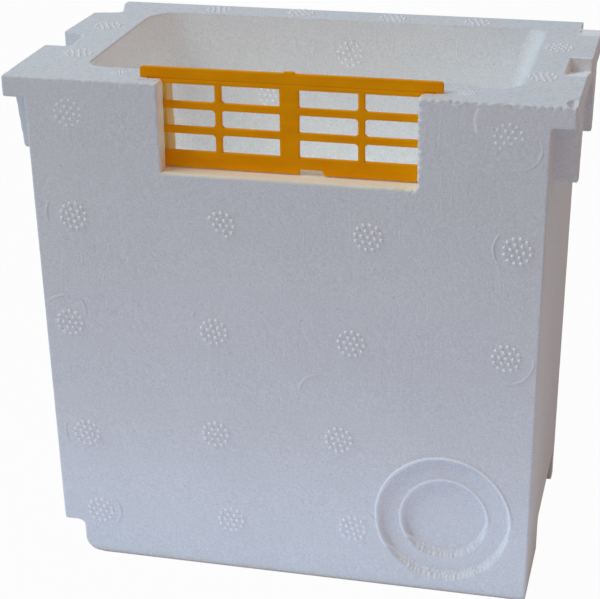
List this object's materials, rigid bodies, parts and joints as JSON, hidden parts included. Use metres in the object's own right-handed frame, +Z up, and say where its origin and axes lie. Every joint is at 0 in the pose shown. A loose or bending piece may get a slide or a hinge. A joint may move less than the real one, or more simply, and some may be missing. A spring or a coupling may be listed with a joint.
{
  "type": "nuc box",
  "caption": "Open-topped moulded-foam nuc box with side lugs, a round entrance-disc seat and a lift-out plastic bee grid in the front wall.",
  "frame": {"origin": "middle of the underside, under the middle of the overall box", "axes": "+Z up, -Y out of the front wall with the grid, +X to the right seen from the front"},
  "size_m": [0.2, 0.115, 0.1966],
  "materials": {
    "white_foam": "matt white expanded polystyrene with a beaded skin",
    "amber_plastic": "smooth moulded amber plastic"
  },
  "bodies": {
    "box": {"foam_box": "white_foam"},
    "grid": {"entrance_grid": "amber_plastic"}
  },
  "joints": [
    {"name": "grid_lift", "type": "slide", "parent": "box", "child": "grid", "axis": [0, 0, 1], "range_m": [0, 0.04]}
  ]
}
